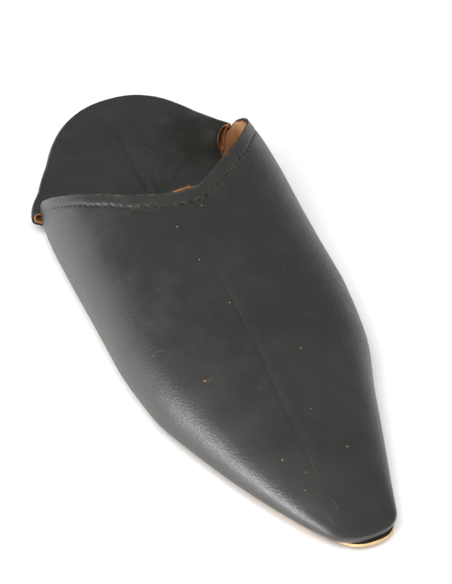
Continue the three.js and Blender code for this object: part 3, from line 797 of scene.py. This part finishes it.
# ---------------------------------------------------------------- insole and outsole
def board(name, form, low, thick, edge, materials, zones, steps=220, cols=28, inset=0.45, dish=None):
    a = np.linspace(0, np.pi, steps + 1)
    lx, ly = form.offset(-a, -inset)
    mx, my = form.offset(a, -inset)
    lx[0], ly[0], lx[-1], ly[-1] = mx[0], my[0], mx[-1], my[-1]
    f = np.linspace(0, 1, cols + 1)[:, None]
    x, y = mix(lx[None], mx[None], f), mix(ly[None], my[None], f)
    zb = low(x)
    top = np.stack([x, y, zb + (thick(x) if callable(thick) else thick)], -1)
    bottom = np.stack([x, y, zb], -1)
    if dish is not None:
        top[..., 2] += dish(x, y)
    v, q, z, _ = shell(top, bottom, edge, closed_start=True, closed_end=True)
    q = q[:, ::-1]
    return mesh_object(name, v, q, z, materials, zones)


def board_edge(inset, r):
    """Square edge with eased arrises."""
    return [(r * 0.35, inset * 0.75), (r, inset), (0.5, inset), (1 - r, inset), (1 - r * 0.35, inset * 0.75)]


def foot_print(x, y):
    """The insole is pressed down a little under heel and ball."""
    heel = np.exp(-((x - 32) / 24) ** 2 - ((y - 1) / 22) ** 2)
    ball = np.exp(-((x - 165) / 38) ** 2 - ((y + 4) / 34) ** 2)
    return -0.35 * heel - 0.30 * ball


insole_top = tan_leather("insole_leather_tan", (0.50, 0.285, 0.14), (0.40, 0.21, 0.10), nap=0.8)
sole_under = tan_leather("outsole_leather_underside", (0.46, 0.30, 0.165), (0.36, 0.225, 0.115), nap=0.4, grain=1.4)
# the outsole's top is painted near-black: painted shade for the dark slit under the upper's lower edge
sole_top = plain("outsole_top_painted_shade", (0.022, 0.017, 0.013), 0.8, 0.0002)
# the outsole's cut edge is painted darker behind the toe: painted shade where the upper overhangs it, which also keeps
# its tan glow off the floor
sole_edge = cut_edge("outsole_cut_edge", (0.74, 0.53, 0.27), (0.56, 0.36, 0.16), (0.42, 0.060, 0.124))
insole = board("insole_board", INSOLE, lambda x: seat_at(x) + GAP, INSOLE_T, board_edge(0.4, 0.2),
               [insole_top, raw_edge], (0, 1, 0, 1), inset=0.4, dish=foot_print)
def tip_wear(x):
    """The tip of the outsole is worn from below."""
    return 0.6 * smooth((x - 258) / 18)


outsole = board("outsole_board", SOLE, lambda x: sole_at(x) + tip_wear(x), lambda x: sole_t(x) - tip_wear(x), board_edge(0.45, 0.14), [sole_top, sole_edge, sole_under], (0, 1, 2, 1))


# ---------------------------------------------------------------- small things on the surface
def on_upper(station, angle, lift=0.0):
    """Point and outward normal on the black leather, mm."""
    def at(s, a):
        return np.array([float(v) for v in girth(OUTER, np.radians(a), np.float64(s))])
    p = at(station, angle)
    n = np.cross(at(station + 0.3, angle) - p, at(station, angle + 0.4) - p)
    n /= np.linalg.norm(n)
    if n[2] < 0 and abs(angle) < 80:
        n = -n
    i = np.unravel_index(np.argmin(((g_out[:, 6:] - p) ** 2).sum(-1)), g_out[:, 6:].shape[:2])
    q = g_out[i[0], i[1] + 6]
    return p + n * (float((q - p) @ n) + lift), n


def blob(centre, normal, rx, ry, rz, turn, seg=10, rings=5):
    """Flattened, slightly uneven lump lying on the surface; returns vertices and faces."""
    n = normal / np.linalg.norm(normal)
    t = np.cross(n, (0, 0, 1) if abs(n[2]) < 0.9 else (1, 0, 0))
    t /= np.linalg.norm(t)
    b = np.cross(n, t)
    t, b = t * math.cos(turn) + b * math.sin(turn), b * math.cos(turn) - t * math.sin(turn)
    vs, fs = [centre + n * rz], []
    for r in range(1, rings):
        ph = math.pi * r / rings
        for s in range(seg):
            a = 2 * math.pi * s / seg
            w = 1 + 0.14 * math.sin(3 * a + turn * 5) + 0.08 * math.sin(5 * a + turn)
            vs.append(centre + t * rx * math.sin(ph) * math.cos(a) * w + b * ry * math.sin(ph) * math.sin(a) * w + n * rz * math.cos(ph))
    vs.append(centre - n * rz)
    for s in range(seg):
        fs.append((0, 1 + s, 1 + (s + 1) % seg))
        last = 1 + (rings - 2) * seg
        fs.append((len(vs) - 1, last + (s + 1) % seg, last + s))
    for r in range(rings - 2):
        for s in range(seg):
            a, c = 1 + r * seg, 1 + (r + 1) * seg
            fs.append((a + s, c + s, c + (s + 1) % seg, a + (s + 1) % seg))
    return vs, fs


def joined(name, parts, mat):
    verts, faces = [], []
    for vs, fs in parts:
        k = len(verts)
        verts += [((v - np.array([ORIGIN_X, ORIGIN_Y, 0.0])) * 0.001).tolist() for v in vs]
        faces += [tuple(i + k for i in f) for f in fs]
    me = bpy.data.meshes.new(name)
    me.from_pydata(verts, [], faces)
    me.materials.append(mat)
    me.polygons.foreach_set("use_smooth", [True] * len(faces))
    me.validate()
    me.update()
    ob = bpy.data.objects.new(name, me)
    bpy.context.collection.objects.link(ob)
    return ob


# thread: a short, half-sunk stitch of waxed thread in each hole of the throat row
thread_parts = []
for k, s in enumerate(STITCHES):
    i = np.searchsorted(edge_run, s)
    f = (s - edge_run[i - 1]) / (edge_run[i] - edge_run[i - 1])
    def row_at(i):
        j = np.searchsorted(level[i], STITCH_IN)
        h = (STITCH_IN - level[i, j - 1]) / (level[i, j] - level[i, j - 1])
        return mix(g_out[i, j - 1], g_out[i, j], h), n_out[i, j]
    (p0, n0), (p1, n1) = row_at(i - 1), row_at(i)
    c, n = mix(p0, p1, f), mix(n0, n1, f)
    along_edge = edge_line[i] - edge_line[i - 1]
    n = n / np.linalg.norm(n)
    t = along_edge - n * (along_edge @ n)
    t /= np.linalg.norm(t)
    vs, fs = blob(np.zeros(3), np.array([0, 0, 1.0]), 0.50, 0.21, 0.20, 0.0, seg=8, rings=5)
    b = np.cross(n, t)
    ang = 0.25 * math.sin(k * 2.3)
    tt, bb = t * math.cos(ang) + b * math.sin(ang), b * math.cos(ang) - t * math.sin(ang)
    # blob axes come back in its own frame: take them apart and lay them in the hole
    out = []
    for v in vs:
        out.append(c + tt * v[1] + bb * v[0] * 1.0 + n * (v[2] - 0.02))
    thread_parts.append((out, fs))
thread, tnt, tb = material("waxed_thread")
tk = Nodes(tnt)
tone = tk.colour(tk.ramp(tk.noise(310, 2), 0.50, 0.66), (0.040, 0.024, 0.015), (0.24, 0.145, 0.075))
tnt.links.new(tone, tb.inputs["Base Color"])
tb.inputs["Roughness"].default_value = 0.7
tnt.links.new(tk.bump(tk.noise(2500, 3), 0.0001, 0.8), tb.inputs["Normal"])
throat_thread = joined("throat_thread", thread_parts, thread)

DUST = [  # station, girth angle (degrees), radius (mm)
    (138.6, -8.4, 0.42), (155.6, -6.0, 0.36), (177.3, -3.0, 0.40), (204.0, 13.8, 0.42), (181.4, -53.4, 0.34),
    (247.3, 18.0, 0.46), (243.9, -27.0, 0.46), (132.7, 1.8, 0.34), (251.8, -18.0, 0.30), (257.8, -31.8, 0.30),
    (168.0, 22.0, 0.24), (190.0, -18.0, 0.22), (215.0, -10.0, 0.24), (160.0, -30.0, 0.22), (229.0, 6.0, 0.24),
]
dust_parts = []
for k, (s, a, r) in enumerate(DUST):
    p, n = on_upper(s, a, 0.03)
    dust_parts.append(blob(p, n, r * 0.85, r * 0.66, r * 0.22, k * 1.7))
dust = joined("dust_specks", dust_parts, plain("pale_dust", (0.25, 0.22, 0.175), 0.9))

# a nick through the black finish, with the scratch that leads to it
nick_parts = []
for s, a, rx, ry, turn in ((202.9, -34.2, 0.9, 0.36, 0.5), (203.6, -31.8, 0.35, 0.22, 0.8)):
    p, n = on_upper(s, a, 0.0)
    nick_parts.append(blob(p, n, rx, ry, 0.09, turn))
nick = joined("nick_in_finish", nick_parts, plain("bared_leather", (0.21, 0.105, 0.060), 0.75))


def streak(points, width, lift=0.045):
    """A hair-fine scratch: a thin strip with a low crown along given points."""
    pts = []
    for (s0, a0), (s1, a1) in zip(points[:-1], points[1:]):
        for f in np.linspace(0, 1, 8)[:-1]:
            pts.append((mix(s0, s1, f), mix(a0, a1, f)))
    pts.append(points[-1])
    pn = [on_upper(s, a, lift) for s, a in pts]
    vs, fs = [], []
    for i, (p, n) in enumerate(pn):
        t = pn[min(i + 1, len(pn) - 1)][0] - pn[max(i - 1, 0)][0]
        t /= np.linalg.norm(t)
        b = np.cross(n, t)
        w = width * math.sin(math.pi * (i + 0.35) / (len(pn) - 0.3))
        vs += [p - b * w, p + n * 0.02, p + b * w, p - n * 0.12]
        if i:
            k = 4 * i
            for j in range(4):
                fs.append((k - 4 + j, k + j, k + (j + 1) % 4, k - 4 + (j + 1) % 4))
    fs.append((0, 1, 2, 3))
    k = len(vs)
    fs.append((k - 1, k - 2, k - 3, k - 4))
    return vs, fs


scratch_parts = [
    streak([(203.2, -33.0), (203.4, -30.5), (203.9, -28.0)], 0.10),
    streak([(268.8, -38.5), (271.0, -40.0), (273.2, -43.0)], 0.08),
    streak([(264.0, -15.0), (267.0, -16.5), (270.0, -20.0)], 0.07),
    streak([(181.0, -51.0), (182.0, -47.0), (184.0, -43.0)], 0.07),
]
scratches = joined("fine_scratches", scratch_parts, plain("scuffed_grey", (0.10, 0.098, 0.09), 0.6))

# the long line down the vamp, in three broken lengths: partly rubbed finish, partly a painted highlight along the
# crease
rub_and_highlight = joined("rub_and_highlight_line", [
    streak([(163.0, -1.6), (180.0, -1.2), (199.0, -1.2)], 0.11, 0.03),
    streak([(204.0, -1.3), (222.0, -2.2), (238.0, -4.6)], 0.12, 0.03),
    streak([(241.0, -5.2), (250.0, -8.6), (259.0, -12.4)], 0.11, 0.03),
], plain("rub_and_highlight_grey", (0.050, 0.050, 0.045), 0.6))

# a lump where the flap's raw edge is bunched
LUMP = (73.3, 12.6, 10.4)
lump = joined("raw_edge_lump", [
    blob(np.array(LUMP), np.array([0.5, -0.1, 0.86]), 1.3, 0.8, 0.7, 0.3, seg=14, rings=7),
    blob(np.array(LUMP) + np.array([-0.1, -2.0, -0.45]), np.array([0.5, 0, 0.86]), 1.5, 0.6, 0.5, 0.1, seg=12, rings=6),
], cut_edge("cut_edge_rust", (0.40, 0.150, 0.050), (0.17, 0.060, 0.022)))

# ---------------------------------------------------------------- riding on the frame
for ob, nodes, slot in (
        (upper_leather, ("upper",), "black_leather"), (upper_lining, (), "lining_leather"),
        (quarter_leather, ("back_quarter",), "black_leather"), (quarter_lining, (), "lining_leather"),
        (insole, ("insole",), "lining_leather"), (outsole, ("outsole",), "sole_leather"),
        (throat_thread, (), "lining_leather"), (dust, (), "black_leather"),
        (rub_and_highlight, (), "black_leather"), (lump, (), "lining_leather"),
        (nick, (), "lining_leather"), (scratches, (), "black_leather")):
    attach(ob, "root")
    if nodes:
        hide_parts(*nodes)

# ---------------------------------------------------------------- floor, light, camera
floor_mesh = bpy.data.meshes.new("floor")
S = 6.0
floor_mesh.from_pydata([(-S, -S, 0), (S, -S, 0), (S, S, 0), (-S, S, 0)], [], [(0, 1, 2, 3)])
floor = bpy.data.objects.new("floor", floor_mesh)
bpy.context.collection.objects.link(floor)
fm, fnt, fb = material("pale_floor")
fb.inputs["Base Color"].default_value = (0.86, 0.86, 0.86, 1)
fb.inputs["Roughness"].default_value = 0.9
fb.inputs["Specular IOR Level"].default_value = 0.1
floor_mesh.materials.append(fm)

# the photograph's camera in the shoe's frame, turned to take in the one shoe
EYE = Vector((747.3 - ORIGIN_X, -224.8 - ORIGIN_Y, 601.4)) * 0.001
PHOTO_AIM = Vector((144.2 - ORIGIN_X, 42.8 - ORIGIN_Y, 0.0)) * 0.001
PHOTO_ROLL = math.radians(-0.47)
SHOE_AIM = Vector((150.5 - ORIGIN_X, -1.5 - ORIGIN_Y, 20.0)) * 0.001
FOCAL_PX = 2190.0


def camera_axes(direction, up):
    f = direction.normalized()
    r = f.cross(up).normalized()
    return r, r.cross(f), f


r0, u0, f0 = camera_axes(PHOTO_AIM - EYE, Vector((0, 0, 1)))
u_rolled = u0 * math.cos(PHOTO_ROLL) - r0 * math.sin(PHOTO_ROLL)
r1, u1, f1 = camera_axes(SHOE_AIM - EYE, u_rolled)
cam_data = bpy.data.cameras.new("camera")
cam_data.sensor_width = 36.0
cam_data.lens = FOCAL_PX * 36.0 / 584.0
cam_data.clip_start, cam_data.clip_end = 0.05, 30.0
cam = bpy.data.objects.new("camera", cam_data)
cam.matrix_world = Matrix(((r1.x, u1.x, -f1.x, EYE.x), (r1.y, u1.y, -f1.y, EYE.y), (r1.z, u1.z, -f1.z, EYE.z), (0, 0, 0, 1)))
bpy.context.collection.objects.link(cam)
bpy.context.scene.camera = cam


def area(name, azimuth, elevation, distance, size, size_y, power, target=(0.03, 0.0, 0.03), glossy=True, tint=(1.0, 1.0, 1.0)):
    """Soft box; azimuth is measured in the photograph's own sense: 0 behind the camera, 90 from its left."""
    view = Vector((EYE.x, EYE.y, 0)).normalized()
    a = math.radians(azimuth)
    left = Vector((view.y, -view.x, 0))
    d = view * math.cos(a) + left * math.sin(a)
    e = math.radians(elevation)
    t = Vector(target)
    p = t + (d * math.cos(e) + Vector((0, 0, math.sin(e)))) * distance
    light = bpy.data.lights.new(name, "AREA")
    light.shape, light.size, light.size_y, light.energy = "RECTANGLE", size, size_y, power
    light.color = tint
    ob = bpy.data.objects.new(name, light)
    z = (p - t).normalized()
    x = Vector((0, 0, 1)).cross(z).normalized()
    y = z.cross(x)
    ob.matrix_world = Matrix(((x.x, y.x, z.x, p.x), (x.y, y.y, z.y, p.y), (x.z, y.z, z.z, p.z), (0, 0, 0, 1)))
    ob.visible_glossy = glossy
    bpy.context.collection.objects.link(ob)


world = bpy.data.worlds.new("studio")
bpy.context.scene.world = world
world.use_nodes = True
world.node_tree.nodes["Background"].inputs["Color"].default_value = (1.0, 1.0, 1.0, 1)
# the room is dimmer behind the camera's left shoulder
wnt = world.node_tree
wview = Vector((EYE.x, EYE.y, 0)).normalized()
dim = wview * math.cos(math.radians(122)) + Vector((wview.y, -wview.x, 0)) * math.sin(math.radians(122))
wcoord = wnt.nodes.new("ShaderNodeTexCoord")
wdot = wnt.nodes.new("ShaderNodeVectorMath")
wdot.operation = "DOT_PRODUCT"
wdot.inputs[1].default_value = dim
wramp = wnt.nodes.new("ShaderNodeMapRange")
wramp.interpolation_type = "SMOOTHSTEP"
for key, v in (("From Min", 0.30), ("From Max", 0.88), ("To Min", 0.33), ("To Max", 0.06)):
    wramp.inputs[key].default_value = v
wnt.links.new(wcoord.outputs["Generated"], wdot.inputs[0])
wnt.links.new(wdot.outputs["Value"], wramp.inputs["Value"])
wnt.links.new(wramp.outputs["Result"], wnt.nodes["Background"].inputs["Strength"])
area("window_left", 59, 4.0, 1.2, 0.28, 0.34, 21, tint=(1.0, 0.98, 1.02))
area("high_front", 15, 62, 1.7, 1.3, 0.9, 38, glossy=False)
area("fill_front_right", -60, 35, 1.8, 1.0, 0.8, 5, glossy=False)
bpy.context.scene.view_settings.view_transform = "Standard"
bpy.context.scene.view_settings.look = "None"

# ---------------------------------------------------------------- last update of the view layer
bpy.context.view_layer.update()
